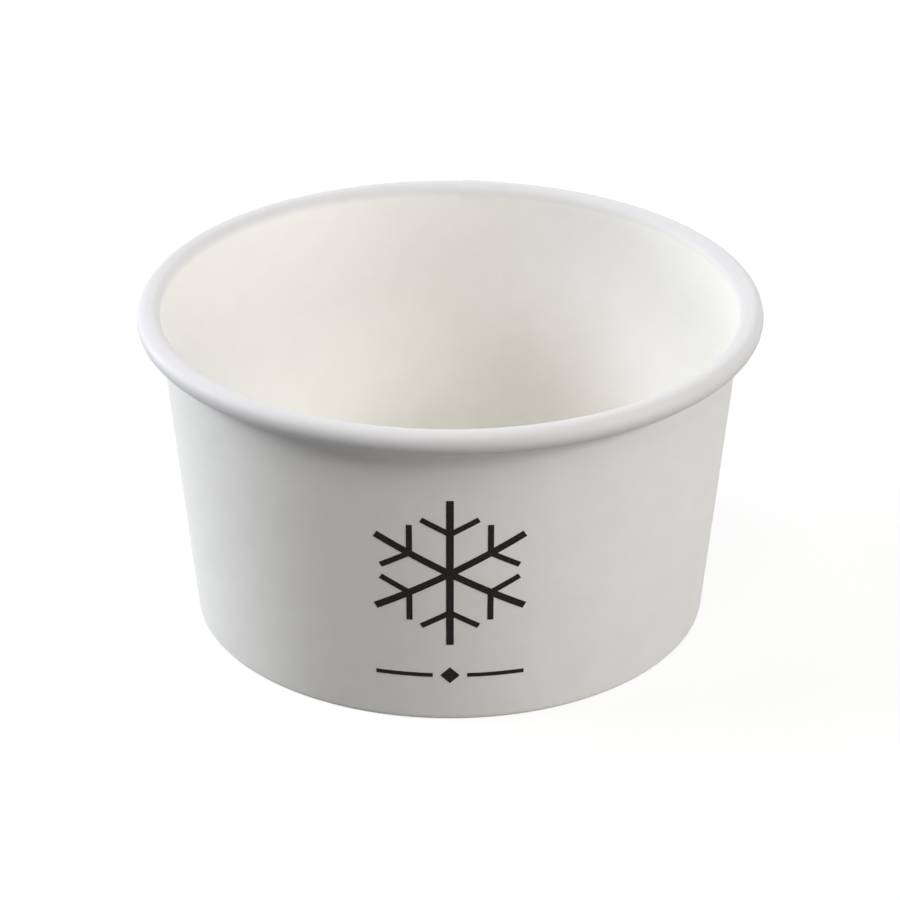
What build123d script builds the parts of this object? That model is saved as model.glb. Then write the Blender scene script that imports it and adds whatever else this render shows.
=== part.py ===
from build123d import *
from math import acos, asin, atan2, cos, degrees, hypot, radians, sin, tan
import os

# Driving sizes of the cup, in millimetres
RIM_DIAMETER = 87.0
HEIGHT = 46.5
FOOT_DIAMETER = 72.8
ROLL_DIAMETER = 3.3

# Paperboard: the wall's blank and the thinner blank of the base disc
WALL_BOARD = 0.35
BASE_BOARD = 0.32

# Rolled rim: it turns out and under until its edge closes on the wall, at this angle in section
# from straight out. It is drawn in straight steps, fine ones outside and coarse ones inside
ROLL_END_ANGLE = -142.0
ROLL_STEP = 32.0
HOLLOW_STEP = 64.0

# Foot: the wall is folded round the skirt of the base disc and up inside it
FOLD_TOP = 4.6
FOLD_CORNER = 0.3
BASE_UNDERSIDE = 5.4
BASE_BEND = 0.8
BASE_BEND_STEP = 90.0
SKIRT_END = 0.45

# Side seam at the back: angles are counted from +X towards +Y, in degrees
SEAM_EDGE_ANGLE = 78.3
SEAM_OVERLAP = 6.0
SEAM_STEP = 0.3
SEAM_FOOT = 0.6
SEAM_TOP = 43.7
SEAM_BITE = 0.03
ROLL_SEAM_STEP = 0.12
ROLL_SEAM_START = 160.0
ROLL_SEAM_TURN = 210.0

# Printed emblem on the front: a snowflake above a broken bar with a diamond in its gap. It lies
# within this stretch of the wall, from its start and as wide, in degrees
INK = 0.05
PRINT_START = -120.0
PRINT_ARC = 60.0
FLAKE_HEIGHT = 23.8
ARM_LENGTH = 11.4
ARM_LINE = 1.0
TWIG_REACH = 6.2
TWIG_LENGTH = 4.4
TWIG_LINE = 0.8
BAR_HEIGHT = 7.4
BAR_LENGTH = 7.6
BAR_LINE = 0.6
BAR_GAP = 1.0
DIAMOND_WIDTH = 2.6

# The wall's lean from upright. Its inside face is tangent to the roll, so the line of its
# outside face passes the roll's centre at the roll's radius less one board
ROLL_RADIUS = ROLL_DIAMETER / 2
ROLL_CENTRE = (RIM_DIAMETER / 2 - ROLL_RADIUS, HEIGHT - ROLL_RADIUS)
FOOT_TO_ROLL = (ROLL_CENTRE[0] - FOOT_DIAMETER / 2, ROLL_CENTRE[1])
LEAN = atan2(*FOOT_TO_ROLL) - asin((ROLL_RADIUS - WALL_BOARD) / hypot(*FOOT_TO_ROLL))
ROLL_START_ANGLE = 180 - degrees(LEAN)


def wall_radius(z, depth=0.0):
    """Radius at height z of the cone that lies this far inside the wall's outside face."""
    return FOOT_DIAMETER / 2 + z * tan(LEAN) - depth / cos(LEAN)


def wall_point(z, depth=0.0):
    """The same place as a point of the section, squarely inwards from height z of the face."""
    return (wall_radius(z) - depth * cos(LEAN), z + depth * sin(LEAN))


def polar(radius, angle, centre=(0, 0)):
    """The point at this radius and angle from a centre."""
    return (centre[0] + radius * cos(radians(angle)), centre[1] + radius * sin(radians(angle)))


def arc_points(centre, radius, stops, step):
    """Points along an arc that goes from stop to stop, in equal steps of about this angle."""
    points = [polar(radius, stops[0], centre)]
    for start, end in zip(stops, stops[1:]):
        count = max(1, round(abs(end - start) / step))
        points += [polar(radius, start + (end - start) * (i + 1) / count, centre) for i in range(count)]
    return points


def turned(face, start=0.0, arc=360.0):
    """Revolve a face, drawn as radius and height, round the cup's axis."""
    return Rot(0, 0, start) * revolve(Plane.XZ * face, Axis.Z, arc)


def section(near, far):
    """The face between two runs of points that start and end side by side."""
    return make_face(Polyline(*near, *reversed(far), close=True))


def wall_section():
    """The blank in section: folded edge, foot, wall and rolled rim."""
    pocket_depth = WALL_BOARD + BASE_BOARD
    fold_depth = pocket_depth + WALL_BOARD
    coated = [
        wall_point(FOLD_TOP, pocket_depth),
        (wall_radius(WALL_BOARD, pocket_depth), WALL_BOARD),
        (wall_radius(WALL_BOARD, WALL_BOARD), WALL_BOARD),
        *arc_points(ROLL_CENTRE, ROLL_RADIUS, (ROLL_START_ANGLE, 90, 0, ROLL_END_ANGLE), ROLL_STEP),
    ]
    plain = [
        wall_point(FOLD_TOP, fold_depth),
        (wall_radius(0, fold_depth), 0),
        (wall_radius(0) - FOLD_CORNER, 0),
        wall_point(FOLD_CORNER),
        *arc_points(ROLL_CENTRE, ROLL_RADIUS - WALL_BOARD, (ROLL_START_ANGLE, ROLL_END_ANGLE), HOLLOW_STEP),
    ]
    return section(coated, plain)


def base_section():
    """Half of the base disc in section: flat floor, bend and skirt."""
    top_z = BASE_UNDERSIDE + BASE_BOARD
    bend_stops = (90, -degrees(LEAN))
    bend_centre = (wall_radius(top_z - BASE_BEND, WALL_BOARD + BASE_BEND), top_z - BASE_BEND)
    top = [
        (0, top_z),
        *arc_points(bend_centre, BASE_BEND, bend_stops, BASE_BEND_STEP),
        wall_point(SKIRT_END, WALL_BOARD),
    ]
    underside = [
        (0, BASE_UNDERSIDE),
        *arc_points(bend_centre, BASE_BEND - BASE_BOARD, bend_stops, BASE_BEND_STEP),
        wall_point(SKIRT_END, WALL_BOARD + BASE_BOARD),
    ]
    return section(top, underside)


def wall_band(low_z, high_z, near_depth, far_depth):
    """Section of a band that runs up the wall between two depths."""
    near = [wall_point(low_z, near_depth), wall_point(high_z, near_depth)]
    far = [wall_point(low_z, far_depth), wall_point(high_z, far_depth)]
    return section(near, far)


def overlap_section():
    """The blank in section where its two edges overlap: a second board lies on the first."""
    fold_depth = 2 * WALL_BOARD + BASE_BOARD
    on_wall = wall_band(SEAM_FOOT, SEAM_TOP, WALL_BOARD / 2, -SEAM_STEP)
    on_fold = wall_band(SEAM_FOOT, FOLD_TOP, fold_depth - WALL_BOARD / 2, fold_depth + SEAM_STEP)
    roll_stops = (ROLL_SEAM_START, ROLL_SEAM_START - ROLL_SEAM_TURN)
    on_roll = section(
        arc_points(ROLL_CENTRE, ROLL_RADIUS + ROLL_SEAM_STEP, roll_stops, ROLL_STEP),
        arc_points(ROLL_CENTRE, ROLL_RADIUS - ROLL_SEAM_STEP, roll_stops, ROLL_STEP),
    )
    return wall_section() + on_wall + on_fold + on_roll


def seam_wedge(depth, foot_z, top_z):
    """Where the top board leaves the cone flat and climbs by one step onto the other board.

    It bites a little into the face that it climbs from, so that the two don't just touch.
    """
    middle = wall_radius(HEIGHT / 2)
    start_angle = SEAM_EDGE_ANGLE - degrees(acos(middle / (middle + SEAM_STEP)))

    def outline(z):
        radius = wall_radius(z, depth)
        climb = [polar(radius - SEAM_BITE, start_angle), polar(radius + SEAM_STEP, SEAM_EDGE_ANGLE)]
        back = [polar(radius - 2 * SEAM_BITE, angle) for angle in (start_angle, SEAM_EDGE_ANGLE)]
        return Pos(0, 0, z) * section(climb, back)

    return loft([outline(foot_z), outline(top_z)], ruled=True)


def sidewall():
    """One blank: wall, side seam, rolled rim and folded foot."""
    overlap = degrees(SEAM_OVERLAP / wall_radius(HEIGHT / 2))
    doubled = turned(overlap_section(), SEAM_EDGE_ANGLE, overlap)
    single = turned(wall_section(), SEAM_EDGE_ANGLE + overlap, 360 - overlap)

    # Before the overlap the top board climbs outside, and bares the other board's edge inside
    climb = seam_wedge(0, SEAM_FOOT, SEAM_TOP)
    bared = seam_wedge(WALL_BOARD, BASE_UNDERSIDE + BASE_BOARD + BASE_BEND, ROLL_CENTRE[1])
    return single + doubled + climb - bared


def base_disc():
    """The floor with its edge turned down as a skirt."""
    return turned(base_section())


def snowflake():
    """Six arms with a pair of twigs each, at 60 degrees to the arm."""
    arm = Pos(ARM_LENGTH / 2, 0) * Rectangle(ARM_LENGTH, ARM_LINE)
    for turn in (-60, 60):
        twig = Rot(0, 0, turn) * Pos(TWIG_LENGTH / 2, 0) * Rectangle(TWIG_LENGTH, TWIG_LINE)
        arm += Pos(TWIG_REACH, 0) * twig
    return Sketch() + [Rot(0, 0, 60 * i + 30) * arm for i in range(6)]


def emblem_outline():
    """The whole print, flat, as width and height on the cup."""
    bar_centre = DIAMOND_WIDTH / 2 + BAR_GAP + BAR_LENGTH / 2
    bars = [Pos(side * bar_centre, 0) * Rectangle(BAR_LENGTH, BAR_LINE) for side in (-1, 1)]
    diamond = RegularPolygon(DIAMOND_WIDTH / 2, 4)
    return Pos(0, FLAKE_HEIGHT) * snowflake() + Pos(0, BAR_HEIGHT) * (diamond + bars)


def printed_emblem():
    """A film of ink that lies on the front of the wall."""
    film = turned(wall_band(0, ROLL_CENTRE[1], 0, -INK), PRINT_START, PRINT_ARC)
    return film & extrude(Plane.XZ * emblem_outline(), RIM_DIAMETER / 2)


os.makedirs("parts", exist_ok=True)
export_step(sidewall(), "parts/sidewall.step")
export_step(base_disc(), "parts/base_disc.step")
export_step(printed_emblem(), "parts/printed_emblem.step")
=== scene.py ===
from math import asin, atan2, cos, hypot, pi, radians, sin, tan

import bpy
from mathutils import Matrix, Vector


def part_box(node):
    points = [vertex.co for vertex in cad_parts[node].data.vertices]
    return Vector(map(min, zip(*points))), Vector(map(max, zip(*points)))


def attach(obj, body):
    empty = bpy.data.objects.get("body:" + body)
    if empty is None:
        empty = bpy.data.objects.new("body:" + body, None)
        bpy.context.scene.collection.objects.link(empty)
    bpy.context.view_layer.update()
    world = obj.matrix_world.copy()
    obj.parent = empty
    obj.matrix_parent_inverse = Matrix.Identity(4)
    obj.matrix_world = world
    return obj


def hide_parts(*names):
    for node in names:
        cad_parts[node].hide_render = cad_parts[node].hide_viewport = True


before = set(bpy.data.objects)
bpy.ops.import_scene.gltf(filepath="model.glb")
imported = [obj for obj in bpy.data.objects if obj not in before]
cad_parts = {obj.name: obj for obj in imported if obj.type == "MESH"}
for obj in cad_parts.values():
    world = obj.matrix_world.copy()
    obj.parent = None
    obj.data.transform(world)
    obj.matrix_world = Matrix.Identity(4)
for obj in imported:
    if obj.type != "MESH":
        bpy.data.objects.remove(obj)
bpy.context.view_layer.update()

MM = 0.001

# The cup's driving sizes, the same as the solids'
RIM_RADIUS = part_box("sidewall")[1].x
HEIGHT = 46.5 * MM
FOOT_RADIUS = 36.4 * MM
ROLL_RADIUS = 1.65 * MM
WALL_BOARD = 0.35 * MM
BASE_BOARD = 0.32 * MM
ROLL_CENTRE = (RIM_RADIUS - ROLL_RADIUS, HEIGHT - ROLL_RADIUS)
ROLL_END_ANGLE = radians(-142)
FOLD_TOP = 4.6 * MM
BASE_TOP = 5.4 * MM + BASE_BOARD
BASE_BEND = 0.8 * MM
SKIRT_END = 0.45 * MM

# The side seam: its angle, counted from +X towards +Y, its overlap, and its step on the outside
SEAM_ANGLE = radians(78.3)
SEAM_OVERLAP = 6.0 * MM
SEAM_STEP = 0.3 * MM
# The inner board is skived thin towards its edge, over this length. The outer board starts to climb
# this far before that edge, and at its own edge a crevice this wide leads back to the single wall
SEAM_SKIVE = 4.2 * MM
SEAM_CLIMB = 1.8 * MM
SEAM_CREVICE = 0.15 * MM
# The low band that the seam makes on the roll: its height, and its height at the skived edge
ROLL_SEAM_STEP = 0.08 * MM
ROLL_SEAM_EDGE = 0.03 * MM
# How far from the foot and from the roll the two boards of the seam are pressed together
FOOT_PRESS = 0.8 * MM
ROLL_PRESS = 1.2 * MM

# The wall's lean: its inside face is tangent to the roll
FOOT_TO_ROLL = (ROLL_CENTRE[0] - FOOT_RADIUS, ROLL_CENTRE[1])
LEAN = atan2(*FOOT_TO_ROLL) - asin((ROLL_RADIUS - WALL_BOARD) / hypot(*FOOT_TO_ROLL))
MIDDLE_RADIUS = FOOT_RADIUS + HEIGHT / 2 * tan(LEAN)

# The wall's blank, measured up the slope: its U-turn at the foot, then the wall, then the roll
TURN_RADIUS = (WALL_BOARD + BASE_BOARD) / 2
TURN_HEIGHT = (TURN_RADIUS + WALL_BOARD / 2) * (1 - sin(LEAN)) / cos(LEAN)
FOLD_LENGTH = FOLD_TOP / cos(LEAN) - TURN_HEIGHT
WALL_LENGTH = FOOT_TO_ROLL[0] * sin(LEAN) + FOOT_TO_ROLL[1] * cos(LEAN) - TURN_HEIGHT
FLAT_TO_ROLL = FOLD_LENGTH + pi * TURN_RADIUS + WALL_LENGTH

# Rows of faces along the wall's blank, from the folded edge to the end of the roll
FOLD_ROWS = 6
TURN_ROWS = 8
WALL_ROWS = 24
ROLL_ROWS = 42
BLANK_ROWS = FOLD_ROWS + TURN_ROWS + WALL_ROWS + ROLL_ROWS
# Columns of faces round the wall, and across the overlap of its seam
WALL_COLUMNS = 370
SEAM_COLUMNS = 9

# Rings of faces across the base's blank, from its middle to the edge of the skirt, and its columns
FLOOR_RINGS = 14
BEND_RINGS = 6
SKIRT_RINGS = 4
BASE_RINGS = FLOOR_RINGS + BEND_RINGS + SKIRT_RINGS
BASE_COLUMNS = 240
# The base's map lies this many of its radii below the wall's, clear of the marks of fold and roll
BASE_MAP_DROP = 2
# Faces that meet at more than this show a sharp edge
SHARP_EDGE = radians(50)


class Term:
    """A value in a node tree. Arithmetic on it adds the nodes that work the result out."""

    def __init__(self, tree, socket):
        self.tree = tree
        self.socket = socket

    def math(self, operation, *others):
        return math_node(self.tree, operation, self, *others)

    def __add__(self, other):
        return self.math("ADD", other)

    def __sub__(self, other):
        return self.math("SUBTRACT", other)

    def __rsub__(self, other):
        return math_node(self.tree, "SUBTRACT", other, self)

    def __mul__(self, other):
        return self.math("MULTIPLY", other)

    def __truediv__(self, other):
        return self.math("DIVIDE", other)

    def __rtruediv__(self, other):
        return math_node(self.tree, "DIVIDE", other, self)

    __radd__ = __add__
    __rmul__ = __mul__

    def sin(self):
        return self.math("SINE")

    def cos(self):
        return self.math("COSINE")

    def over(self, low, high, shape="LINEAR"):
        """0 below low, 1 above high, and between them a straight or a smooth rise."""
        sockets = {"Value": self, "From Min": low, "From Max": high}
        node = add(self.tree, "ShaderNodeMapRange", sockets, interpolation_type=shape)
        return Term(self.tree, node.outputs["Result"])

    def mix(self, first, second):
        """first where this is 0 and second where it is 1."""
        return self * (second - first) + first


def math_node(tree, operation, *values):
    """The result of one Math node."""
    node = add(tree, "ShaderNodeMath", dict(enumerate(values)), operation=operation)
    return Term(tree, node.outputs[0])


def feed(tree, socket, value):
    """Give an input its value: a link from a term or a socket, or else a plain value."""
    if isinstance(value, Term):
        value = value.socket
    if isinstance(value, bpy.types.NodeSocket):
        tree.links.new(value, socket)
    else:
        socket.default_value = value


def add(tree, kind, sockets, **settings):
    """Add a node with these settings, and feed its inputs, named or counted."""
    node = tree.nodes.new(kind)
    for name, value in settings.items():
        setattr(node, name, value)
    for key, value in sockets.items():
        feed(tree, node.inputs[key], value)
    return node


def xyz(tree, x, y, z):
    """A vector from three terms."""
    return add(tree, "ShaderNodeCombineXYZ", {"X": x, "Y": y, "Z": z}).outputs[0]


def parts_of(tree, vector):
    """The three coordinates of a vector."""
    split = add(tree, "ShaderNodeSeparateXYZ", {0: vector})
    return [Term(tree, socket) for socket in split.outputs]


SOCKET_KINDS = {
    int: "NodeSocketInt",
    float: "NodeSocketFloat",
    tuple: "NodeSocketVector",
    bpy.types.Material: "NodeSocketMaterial",
}


def new_tree(kind, name, inputs, output, output_kind):
    """A node tree with named inputs and one output, and the terms of its inputs."""
    tree = bpy.data.node_groups.new(name, kind)
    for label, value in inputs.items():
        socket = tree.interface.new_socket(label, in_out="INPUT", socket_type=SOCKET_KINDS[type(value)])
        socket.default_value = value
    tree.interface.new_socket(output, in_out="OUTPUT", socket_type=output_kind)
    given = tree.nodes.new("NodeGroupInput")
    return tree, {label: Term(tree, given.outputs[label]) for label in inputs}


def size_tree(name, sizes):
    """A geometry tree with named inputs for its sizes and its materials."""
    return new_tree("GeometryNodeTree", name, sizes, "Geometry", "NodeSocketGeometry")


def shape_blank(tree, mesh, flat, place):
    """Keep each point's place on the flat board as the map "blank", then move it to its final place."""
    sockets = {"Geometry": mesh, "Name": "blank", "Value": flat}
    settings = {"data_type": "FLOAT2", "domain": "CORNER"}
    mapped = add(tree, "GeometryNodeStoreNamedAttribute", sockets, **settings).outputs[0]
    return add(tree, "GeometryNodeSetPosition", {"Geometry": mapped, "Position": place}).outputs[0]


def finish_tree(tree, mesh, materials):
    """Smooth faces, sharp board edges, and the materials, each on its own faces."""
    mesh = add(tree, "GeometryNodeSetShadeSmooth", {"Geometry": mesh, "Shade Smooth": True}).outputs[0]
    angle = Term(tree, tree.nodes.new("GeometryNodeInputMeshEdgeAngle").outputs["Unsigned Angle"])
    corner = angle.math("GREATER_THAN", SHARP_EDGE)
    sockets = {"Geometry": mesh, "Selection": corner, "Shade Smooth": False}
    mesh = add(tree, "GeometryNodeSetShadeSmooth", sockets, domain="EDGE").outputs[0]
    mesh = add(tree, "GeometryNodeRealizeInstances", {"Geometry": mesh}).outputs[0]
    for material, faces in materials:
        sockets = {"Geometry": mesh, "Selection": faces, "Material": material}
        mesh = add(tree, "GeometryNodeSetMaterial", sockets).outputs[0]
    add(tree, "NodeGroupOutput", {"Geometry": mesh})


def keep_used_materials(mesh):
    """Leave out the empty material slots that a made mesh starts with."""
    used = [index for index, material in enumerate(mesh.materials) if material]
    materials = [mesh.materials[index] for index in used]
    numbers = [used.index(face.material_index) for face in mesh.polygons]
    mesh.materials.clear()
    for material in materials:
        mesh.materials.append(material)
    mesh.polygons.foreach_set("material_index", numbers)


def made_by(tree, name, sizes):
    """Run a geometry tree with these sizes and keep the result as a plain mesh object."""
    source = bpy.data.objects.new(name + "_source", bpy.data.meshes.new(name + "_source"))
    bpy.context.scene.collection.objects.link(source)
    modifier = source.modifiers.new("made", "NODES")
    modifier.node_group = tree
    for item in tree.interface.items_tree:
        if item.in_out == "INPUT":
            modifier[item.identifier] = sizes[item.name]
    ready = source.evaluated_get(bpy.context.evaluated_depsgraph_get())
    mesh = bpy.data.meshes.new_from_object(ready)
    source.modifiers.remove(modifier)
    bpy.data.objects.remove(source)
    keep_used_materials(mesh)
    mesh.name = name
    piece = bpy.data.objects.new(name, mesh)
    bpy.context.scene.collection.objects.link(piece)
    return piece


def marked_sides(tree, slab):
    """The slab, and what it keeps: 1 on its coated faces, -1 on its plain faces and 0 at its edges."""
    kept = tree.nodes.new("GeometryNodeCaptureAttribute")
    kept.domain = "FACE"
    kept.capture_items.new("FLOAT", "Side")
    normal = tree.nodes.new("GeometryNodeInputNormal").outputs[0]
    feed(tree, kept.inputs["Geometry"], slab)
    feed(tree, kept.inputs["Side"], parts_of(tree, normal)[2])
    return kept.outputs["Geometry"], Term(tree, kept.outputs["Side"])


def seam_columns(at, column):
    """The angle round the cup at a column of the blank, and 1 where that is the seam's inner board.

    The blank starts with the inner board of the overlap and then has one column for the crevice. It
    ends with the outer board.
    """
    last = at["Columns"] - SEAM_COLUMNS
    crevice = column.over(SEAM_COLUMNS, SEAM_COLUMNS + 1)
    lapped = column.over(0, SEAM_COLUMNS) + column.over(last, at["Columns"])
    single = column.over(SEAM_COLUMNS + 1, last)
    angle = lapped * at["Overlap"] + crevice * at["Crevice"]
    angle = angle + single * (2 * pi - at["Overlap"] - at["Crevice"])
    return angle, 1 - crevice


def board_faces(at, angle, inner, from_foot, to_roll):
    """How far the board's plain and coated faces lie from its middle, towards the plain side.

    At the seam the inner board's edge is skived thin on its plain side, and the outer board climbs
    over it. On the roll, where inside turns out, the inner board shows as a low band.
    """
    board = at["Board"]
    climb = (angle + inner * (2 * pi)).over(2 * pi - at["Climb"], 2 * pi + at["Skive"], "SMOOTHSTEP")
    climb = climb * climb
    above_foot = from_foot.over(0, FOOT_PRESS, "SMOOTHSTEP")
    below_roll = to_roll.over(ROLL_PRESS, 2 * ROLL_PRESS, "SMOOTHSTEP")
    step = at["Seam Step"] * above_foot * below_roll
    band = angle.over(0, at["Skive"], "SMOOTHSTEP").mix(at["Roll Seam Edge"], at["Roll Seam Step"])
    band = band * (1 - to_roll.over(0, ROLL_PRESS, "SMOOTHSTEP"))
    between = below_roll * climb * (board + step) * 0.5 - board * 0.5
    plain = inner.mix(board * 0.5 + step * climb, between)
    coated = inner.mix(between, board * -0.5 - band)
    return plain, coated


def wrapped_blank(size):
    """Tree of the wall: one flat board, folded at the foot, rolled at the rim and wrapped round.

    The board starts as a slab one unit on a side. Its X runs from the folded edge to the end of the
    roll, its Y round the cup, and its Z through the board, from the plain side to the coated side.
    """
    tree, at = size_tree("wrapped_blank", size)
    slab = add(tree, "GeometryNodeMeshCube", {
        "Size": (1, 1, 1),
        "Vertices X": BLANK_ROWS + 1,
        "Vertices Y": at["Columns"] + 1,
        "Vertices Z": 2,
    })
    marked, side = marked_sides(tree, slab.outputs["Mesh"])

    x, y, z = parts_of(tree, tree.nodes.new("GeometryNodeInputPosition").outputs[0])
    row = (x + 0.5) * BLANK_ROWS
    stops = [0, FOLD_ROWS, FOLD_ROWS + TURN_ROWS, BLANK_ROWS - ROLL_ROWS, BLANK_ROWS]
    shapes = ["LINEAR", "LINEAR", "SMOOTHSTEP", "LINEAR"]
    fold, turn, wall, roll = [row.over(*span) for span in zip(stops, stops[1:], shapes)]
    turn_radius = (at["Board"] + at["Pocket"]) * 0.5
    roll_radius = at["Roll Radius"] - at["Board"] * 0.5
    turn_angle = turn * pi
    roll_angle = roll * at["Roll Turn"]
    fold_left = (1 - fold) * at["Fold Length"]
    wall_done = wall * at["Wall Length"]
    wall_left = at["Wall Length"] - wall_done
    angle, inner = seam_columns(at, (y + 0.5) * at["Columns"])
    plain, coated = board_faces(at, angle, inner, fold_left + wall_done, wall_left)
    offset = (z + 0.5).mix(plain, coated)

    # The blank's section, measured up the wall's slope and squarely inwards from its outside face
    facing = turn_angle - roll_angle
    up = at["Turn Height"] + fold_left - turn_angle.sin() * turn_radius + wall_done
    up = up + roll_angle.sin() * roll_radius - facing.sin() * offset
    inwards = at["Board"] + at["Pocket"] * 0.5 + turn_angle.cos() * turn_radius
    inwards = inwards + (roll_angle.cos() - 1) * roll_radius + facing.cos() * offset
    radius = at["Foot Radius"] + up * at["Lean"].sin() - inwards * at["Lean"].cos()
    height = up * at["Lean"].cos() + inwards * at["Lean"].sin()
    turned = angle + at["Seam Angle"]
    place = xyz(tree, radius * turned.cos(), radius * turned.sin(), height)

    # On its map, X is metres round the cup and Y metres up the blank from the folded edge
    along = fold * at["Fold Length"] + turn_angle * turn_radius + wall_done + roll_angle * roll_radius
    flat = xyz(tree, angle * MIDDLE_RADIUS, along, 0)
    finish_tree(tree, shape_blank(tree, marked, flat, place), [
        (at["Cut Edge"], True),
        (at["Coated Side"], side.math("GREATER_THAN", 0.5)),
        (at["Plain Side"], side.math("LESS_THAN", -0.5)),
    ])
    return tree


def pressed_disc(size):
    """Tree of the base: a flat round board whose edge is bent down as a skirt.

    The board starts as a drum one unit in radius and height, in rings of equal width.
    """
    tree, at = size_tree("pressed_disc", size)
    drum = add(tree, "GeometryNodeMeshCylinder", {
        "Vertices": at["Columns"],
        "Side Segments": 1,
        "Fill Segments": BASE_RINGS,
        "Radius": 1.0,
        "Depth": 1.0,
    }, fill_type="TRIANGLE_FAN")

    x, y, z = parts_of(tree, tree.nodes.new("GeometryNodeInputPosition").outputs[0])
    reach = (x * x + y * y).math("SQRT")
    ring = reach * BASE_RINGS
    stops = [0, FLOOR_RINGS, FLOOR_RINGS + BEND_RINGS, BASE_RINGS]
    floor, bend, skirt = [ring.over(*span) for span in zip(stops, stops[1:])]
    bend_radius = at["Bend Radius"] - at["Board"] * 0.5
    slope = bend * (at["Lean"] + pi / 2)
    down = skirt * at["Skirt Length"]
    offset = z * at["Board"]
    radius = floor * at["Floor Radius"] + slope.sin() * (bend_radius + offset) + slope.cos() * down
    drop = bend_radius - slope.cos() * (bend_radius + offset) + slope.sin() * down
    height = at["Floor Top"] - at["Board"] * 0.5 - drop
    spread = radius / reach
    place = xyz(tree, x * spread, y * spread, height)

    blank_radius = at["Floor Radius"] + bend_radius * (at["Lean"] + pi / 2) + at["Skirt Length"]
    flat = xyz(tree, x * blank_radius, (y - BASE_MAP_DROP) * blank_radius, 0)
    finish_tree(tree, shape_blank(tree, drum.outputs["Mesh"], flat, place), [
        (at["Cut Edge"], drum.outputs["Side"]),
        (at["Coated Side"], drum.outputs["Top"]),
        (at["Plain Side"], drum.outputs["Bottom"]),
    ])
    return tree


def piece_of(name, tree_maker, size, node):
    """One finished board piece, which stands for a node of the solids and rides with the cup."""
    piece = made_by(tree_maker(size), name, size)
    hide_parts(node)
    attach(piece, "root")


def make_boards(coated, plain, edge):
    """The wall and the base, each from its own blank."""
    sides = {"Coated Side": coated, "Plain Side": plain, "Cut Edge": edge}
    piece_of("sidewall_board", wrapped_blank, {
        "Columns": WALL_COLUMNS,
        "Board": WALL_BOARD,
        "Pocket": BASE_BOARD,
        "Foot Radius": FOOT_RADIUS,
        "Lean": LEAN,
        "Fold Length": FOLD_LENGTH,
        "Turn Height": TURN_HEIGHT,
        "Wall Length": WALL_LENGTH,
        "Roll Radius": ROLL_RADIUS,
        "Roll Turn": pi - LEAN - ROLL_END_ANGLE,
        "Seam Angle": SEAM_ANGLE,
        "Overlap": SEAM_OVERLAP / MIDDLE_RADIUS,
        "Climb": SEAM_CLIMB / MIDDLE_RADIUS,
        "Skive": SEAM_SKIVE / MIDDLE_RADIUS,
        "Crevice": SEAM_CREVICE / MIDDLE_RADIUS,
        "Seam Step": SEAM_STEP,
        "Roll Seam Step": ROLL_SEAM_STEP,
        "Roll Seam Edge": ROLL_SEAM_EDGE,
        **sides,
    }, "sidewall")

    bend_height = BASE_TOP - BASE_BEND
    bend_middle = BASE_BEND - BASE_BOARD / 2
    skirt_end = SKIRT_END + (WALL_BOARD + BASE_BOARD / 2) * sin(LEAN)
    piece_of("base_board", pressed_disc, {
        "Columns": BASE_COLUMNS,
        "Board": BASE_BOARD,
        "Lean": LEAN,
        "Floor Top": BASE_TOP,
        "Floor Radius": FOOT_RADIUS + bend_height * tan(LEAN) - (WALL_BOARD + BASE_BEND) / cos(LEAN),
        "Bend Radius": BASE_BEND,
        "Skirt Length": (bend_height - bend_middle * sin(LEAN) - skirt_end) / cos(LEAN),
        **sides,
    }, "base_disc")


def ink_emblem(ink):
    """The emblem keeps its own solid, and gets its material."""
    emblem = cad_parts["printed_emblem"]
    emblem.data.materials.clear()
    emblem.data.materials.append(ink)


# The paper's strands: the directions in which they lie on the map, how far apart their noises are
# read, and how sharply they stand out
FIBRE_TURNS = [radians(turn) for turn in (8, 63, -49)]
FIBRE_LAYER_GAP = 7.3
FIBRE_SHARPNESS = 4.0

# The darkest and lightest tone of each surface
PLAIN_DARK = (0.825, 0.811, 0.780)
PLAIN_LIGHT = (0.870, 0.858, 0.832)
COATED_DARK = (0.830, 0.821, 0.788)
COATED_LIGHT = (0.862, 0.855, 0.828)
# The roll: the same coat as inside the cup, its colour painted darker as shade
ROLL_SHADE_DARK = (0.660, 0.653, 0.662)
ROLL_SHADE_LIGHT = (0.690, 0.684, 0.692)
EDGE_DARK = (0.600, 0.560, 0.480)
EDGE_LIGHT = (0.750, 0.720, 0.650)
INK_BLACK = (0.009, 0.009, 0.008)
INK_THIN = (0.030, 0.029, 0.027)
# Where the flat board's colour turns into the roll's painted shade, measured up the blank
ROLL_SHADE_START = FLAT_TO_ROLL - ROLL_RADIUS / 4
ROLL_SHADE_END = FLAT_TO_ROLL + ROLL_RADIUS / 2

# Depth of the relief
FIBRE_DEPTH = 0.007 * MM
CLOUD_DEPTH = 0.035 * MM
RIPPLE_DEPTH = 0.004 * MM
# The knurl of the fold at the foot, and where it fades in and out, measured up the blank
KNURL_PITCH = 1.1 * MM
KNURL_DEPTH = 0.06 * MM
KNURL_START = (0.3 * MM, 0.6 * MM)
KNURL_END = (3.4 * MM, 4.0 * MM)


def effect(name, inputs, output):
    """A shader group with named inputs and one output."""
    return new_tree("ShaderNodeTree", name, inputs, output, "NodeSocketFloat")


def noise(tree, vector, detail, roughness=0.5):
    """Noise whose patches are about one unit across."""
    sockets = {"Vector": vector, "Scale": 1.0, "Detail": detail, "Roughness": roughness}
    return Term(tree, add(tree, "ShaderNodeTexNoise", sockets).outputs[0])


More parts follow.
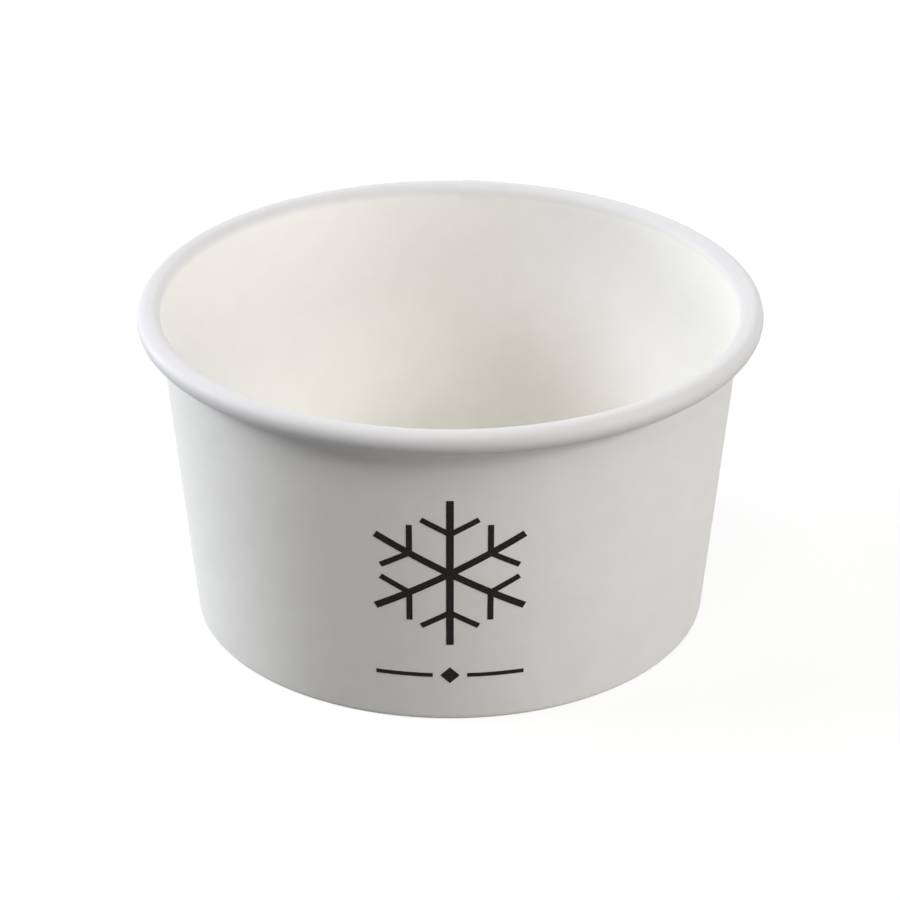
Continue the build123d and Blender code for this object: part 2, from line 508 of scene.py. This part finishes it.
def fibre_effect():
    """Short strands that cross each other, as in the face of paper. The map is in metres."""
    inputs = {"Map": (0, 0, 0), "Length": 1.6 * MM, "Width": 0.09 * MM}
    group, at = effect("paper_fibres", inputs, "Strands")
    across, up, _ = parts_of(group, at["Map"])
    strands = 0.0
    for layer, turn in enumerate(FIBRE_TURNS):
        lengthwise = (across * cos(turn) + up * sin(turn)) / at["Length"]
        sideways = (up * cos(turn) - across * sin(turn)) / at["Width"]
        field = noise(group, xyz(group, lengthwise, sideways, FIBRE_LAYER_GAP * layer), detail=1.0)
        ridge = 1 - (field - 0.5).math("ABSOLUTE") * FIBRE_SHARPNESS
        strands = ridge.math("MAXIMUM", strands)
    add(group, "NodeGroupOutput", {"Strands": strands})
    return group


def cloud_effect():
    """Soft patches, where the board is a little denser or stands a little higher."""
    group, at = effect("board_clouds", {"Map": (0, 0, 0), "Size": 6 * MM}, "Clouds")
    sockets = {0: at["Map"], "Scale": 1 / at["Size"]}
    scaled = add(group, "ShaderNodeVectorMath", sockets, operation="SCALE")
    field = noise(group, scaled.outputs[0], detail=3.0, roughness=0.55)
    add(group, "NodeGroupOutput", {"Clouds": field.over(0.25, 0.75, "SMOOTHSTEP")})
    return group


def use(tree, group, output, **inputs):
    """One use of an effect, with its own values."""
    return Term(tree, add(tree, "ShaderNodeGroup", inputs, node_tree=group).outputs[output])


def material_of(name):
    """A new material and its tree."""
    material = bpy.data.materials.new(name)
    material.use_nodes = True
    return material, material.node_tree


def colour_between(tree, factor, low, high):
    """A colour between two, each given as numbers or as a socket."""
    ends = [end if isinstance(end, bpy.types.NodeSocket) else (*end, 1) for end in (low, high)]
    return add(tree, "ShaderNodeMix", {0: factor, 6: ends[0], 7: ends[1]}, data_type="RGBA").outputs[2]


def set_surface(tree, colour, roughness, gloss, height=None):
    """Set a material's colour, roughness and gloss, and its relief, a height in metres."""
    shader = tree.nodes["Principled BSDF"]
    feed(tree, shader.inputs["Base Color"], colour)
    feed(tree, shader.inputs["Roughness"], roughness)
    feed(tree, shader.inputs["Specular IOR Level"], gloss)
    if height:
        bump = add(tree, "ShaderNodeBump", {"Height": height, "Distance": 1.0})
        feed(tree, shader.inputs["Normal"], bump.outputs[0])


def blank_map(tree):
    """The place on the flat board, in metres."""
    return add(tree, "ShaderNodeUVMap", {}, uv_map="blank").outputs[0]


def object_place(tree):
    """The place in the object's own coordinates, in metres."""
    return tree.nodes.new("ShaderNodeTexCoord").outputs["Object"]


def plain_side(fibres, clouds):
    """The printed side: bare board, with its strands, and knurled where it is folded in at the foot."""
    material, tree = material_of("plain_board")
    place = blank_map(tree)
    round_cup, along, _ = parts_of(tree, place)
    strands = use(tree, fibres, "Strands", Map=place)
    patches = use(tree, clouds, "Clouds", Map=place, Size=5 * MM)
    swell = use(tree, clouds, "Clouds", Map=place, Size=17 * MM)
    tone = strands * 0.3 + patches * 0.5 + swell * 0.2
    ridges = (round_cup * (2 * pi / KNURL_PITCH)).sin() * (KNURL_DEPTH / 2)
    knurl = ridges * along.over(*KNURL_START) * (1 - along.over(*KNURL_END))
    set_surface(
        tree,
        colour=colour_between(tree, tone, PLAIN_DARK, PLAIN_LIGHT),
        roughness=0.68 - strands * 0.08,
        gloss=0.4,
        height=strands * FIBRE_DEPTH + swell * CLOUD_DEPTH + knurl,
    )
    return material


def coated_side(fibres, clouds):
    """The side with a thin plastic coat, inside the cup and on the roll: smoother, with a soft gloss.

    On the roll the same coat is painted darker, as shade.
    """
    material, tree = material_of("coated_board")
    place = blank_map(tree)
    along = parts_of(tree, place)[1]
    strands = use(tree, fibres, "Strands", Map=place, Width=0.16 * MM)
    patches = use(tree, clouds, "Clouds", Map=place, Size=4 * MM)
    swell = use(tree, clouds, "Clouds", Map=place, Size=21 * MM)
    ripple = use(tree, clouds, "Clouds", Map=place, Size=0.7 * MM)
    tone = strands * 0.12 + patches * 0.5 + swell * 0.38
    # Painted shade: on the roll the coat's colour is made darker than inside the cup
    rolled = along.over(ROLL_SHADE_START, ROLL_SHADE_END, "SMOOTHSTEP")
    flat_colour = colour_between(tree, tone, COATED_DARK, COATED_LIGHT)
    roll_shaded_colour = colour_between(tree, tone, ROLL_SHADE_DARK, ROLL_SHADE_LIGHT)
    set_surface(
        tree,
        colour=colour_between(tree, rolled, flat_colour, roll_shaded_colour),
        roughness=0.46 + patches * 0.1,
        gloss=0.35,
        height=strands * (FIBRE_DEPTH / 3) + ripple * RIPPLE_DEPTH + swell * CLOUD_DEPTH,
    )
    return material


def cut_edge(fibres, clouds):
    """Where the board was cut: bare fibres, a little darker than its faces."""
    material, tree = material_of("cut_board_edge")
    place = object_place(tree)
    strands = use(tree, fibres, "Strands", Map=place, Length=0.5 * MM, Width=0.06 * MM)
    patches = use(tree, clouds, "Clouds", Map=place, Size=0.4 * MM)
    tone = strands * 0.5 + patches * 0.5
    set_surface(
        tree,
        colour=colour_between(tree, tone, EDGE_DARK, EDGE_LIGHT),
        roughness=0.9 - strands * 0.1,
        gloss=0.5,
        height=tone * (3 * FIBRE_DEPTH),
    )
    return material


def printed_ink(fibres, clouds):
    """Black ink, a little thinner over the crossings of the paper's strands."""
    material, tree = material_of("printed_ink")
    across, _, up = parts_of(tree, object_place(tree))
    front = xyz(tree, across, up, 0.0)
    strands = use(tree, fibres, "Strands", Map=front)
    patches = use(tree, clouds, "Clouds", Map=front, Size=0.5 * MM)
    thin = strands.over(0.55, 1.0) * patches
    set_surface(
        tree,
        colour=colour_between(tree, thin, INK_BLACK, INK_THIN),
        roughness=0.6 + thin * 0.2,
        gloss=0.1,
        height=strands * FIBRE_DEPTH,
    )
    return material


# The camera stands in front of the print. It looks at the cup's axis at this height, from this far.
# Its sensor and its lens are in millimetres, as they are on a camera
CAMERA_TARGET = Vector((0, 0, 22.4 * MM))
CAMERA_ELEVATION = radians(27.02)
CAMERA_DISTANCE = 455.5 * MM
SENSOR = 36.0
FOCAL_LENGTH = 127.96

# A round floor. White is added to it where it is seen: this much near the cup, where the shadow has
# to show, growing to full white between these two distances
FLOOR_RADIUS = 3.0
FLOOR_COLOUR = (0.24, 0.24, 0.24)
FLOOR_LIFT = 0.78
LIFT_START = 0.1
LIFT_END = 0.6

# Soft lights: azimuth from the camera's side towards the right, elevation, distance, width and
# height in metres, watts, and colour. The last lies in the hollow foot and lights only that
LIGHTS = {
    "left_softbox": (-96, 33, 1.0, 0.7, 0.22, 7.1, (0.92, 0.95, 1.0)),
    "left_strip": (-116, 5, 1.0, 0.3, 0.3, 4.0, (0.93, 0.96, 1.0)),
    "right_softbox": (64, 33, 1.0, 0.8, 0.16, 4.4, (0.99, 1.0, 1.0)),
    "right_strip": (58, 8, 1.0, 0.6, 0.25, 2.2, (1.0, 0.96, 0.92)),
    "front_softbox": (5, 60, 1.0, 0.6, 0.6, 3.1, (1.0, 0.95, 0.86)),
    "back_softbox": (-158, 62, 1.0, 0.6, 0.3, 1.8, (0.97, 0.98, 1.0)),
    "rim_softbox": (164, 30, 1.0, 0.5, 0.3, 1.5, (1.0, 0.99, 0.98)),
    "foot_panel": (0, -90, 0.0221, 0.069, 0.069, 0.0045, (1.0, 1.0, 1.0)),
}
AMBIENT = (0.03, 0.03, 0.035)
WHITE = (1, 1, 1)
SEEN_RAYS = ("Is Camera Ray", "Is Glossy Ray", "Is Transmission Ray")


def seen_directly(tree):
    """1 for the camera, and for what it sees in gloss or through glass; 0 for the light itself."""
    path = tree.nodes.new("ShaderNodeLightPath").outputs
    camera, gloss, glass = [Term(tree, path[name]) for name in SEEN_RAYS]
    return (camera + gloss + glass).math("MINIMUM", 1.0)


def make_floor():
    """A plain pale floor that keeps the cup's shadow and can't be seen from below."""
    bpy.ops.mesh.primitive_circle_add(vertices=96, radius=FLOOR_RADIUS, fill_type="NGON")
    floor = bpy.context.object
    floor.name = "floor"
    material, tree = material_of("pale_floor")
    set_surface(tree, colour=(*FLOOR_COLOUR, 1), roughness=0.9, gloss=0.0)
    distance = add(tree, "ShaderNodeVectorMath", {0: object_place(tree)}, operation="LENGTH")
    away = Term(tree, distance.outputs["Value"])
    strength = seen_directly(tree) * away.over(LIFT_START, LIFT_END, "SMOOTHSTEP").mix(FLOOR_LIFT, 1.0)
    lift = add(tree, "ShaderNodeEmission", {"Color": (*WHITE, 1), "Strength": strength})
    matt = tree.nodes["Principled BSDF"].outputs[0]
    lit = add(tree, "ShaderNodeAddShader", {0: matt, 1: lift.outputs[0]})
    clear = tree.nodes.new("ShaderNodeBsdfTransparent")
    below = tree.nodes.new("ShaderNodeNewGeometry").outputs["Backfacing"]
    either = add(tree, "ShaderNodeMixShader", {0: below, 1: lit.outputs[0], 2: clear.outputs[0]})
    feed(tree, tree.nodes["Material Output"].inputs["Surface"], either.outputs[0])
    floor.data.materials.append(material)


def make_world():
    """White to look at, and a dim even light."""
    world = bpy.data.worlds.new("studio")
    world.use_nodes = True
    bpy.context.scene.world = world
    tree = world.node_tree
    colour = colour_between(tree, seen_directly(tree), AMBIENT, WHITE)
    feed(tree, tree.nodes["Background"].inputs["Color"], colour)


def make_lights():
    """Soft lights, each aimed at the middle of the cup."""
    for name, (azimuth, elevation, distance, width, height, watts, colour) in LIGHTS.items():
        lamp = bpy.data.lights.new(name, "AREA")
        lamp.shape = "ELLIPSE"
        lamp.size = width
        lamp.size_y = height
        lamp.energy = watts
        lamp.color = colour
        light = bpy.data.objects.new(name, lamp)
        bpy.context.scene.collection.objects.link(light)
        turn, rise = radians(azimuth), radians(elevation)
        away = Vector((sin(turn) * cos(rise), -cos(turn) * cos(rise), sin(rise)))
        light.location = CAMERA_TARGET + away * distance
        light.rotation_euler = away.to_track_quat("Z", "Y").to_euler()


def make_camera():
    """The photograph's view."""
    camera = bpy.data.objects.new("camera", bpy.data.cameras.new("camera"))
    bpy.context.scene.collection.objects.link(camera)
    camera.data.sensor_width = SENSOR
    camera.data.lens = FOCAL_LENGTH
    camera.data.clip_start = 10 * MM
    away = Vector((0, -cos(CAMERA_ELEVATION), sin(CAMERA_ELEVATION)))
    camera.location = CAMERA_TARGET + away * CAMERA_DISTANCE
    camera.rotation_euler = away.to_track_quat("Z", "Y").to_euler()
    bpy.context.scene.camera = camera


fibres = fibre_effect()
clouds = cloud_effect()
make_boards(coated_side(fibres, clouds), plain_side(fibres, clouds), cut_edge(fibres, clouds))
ink_emblem(printed_ink(fibres, clouds))
make_floor()
make_world()
make_lights()
make_camera()
bpy.context.scene.view_settings.view_transform = "Standard"
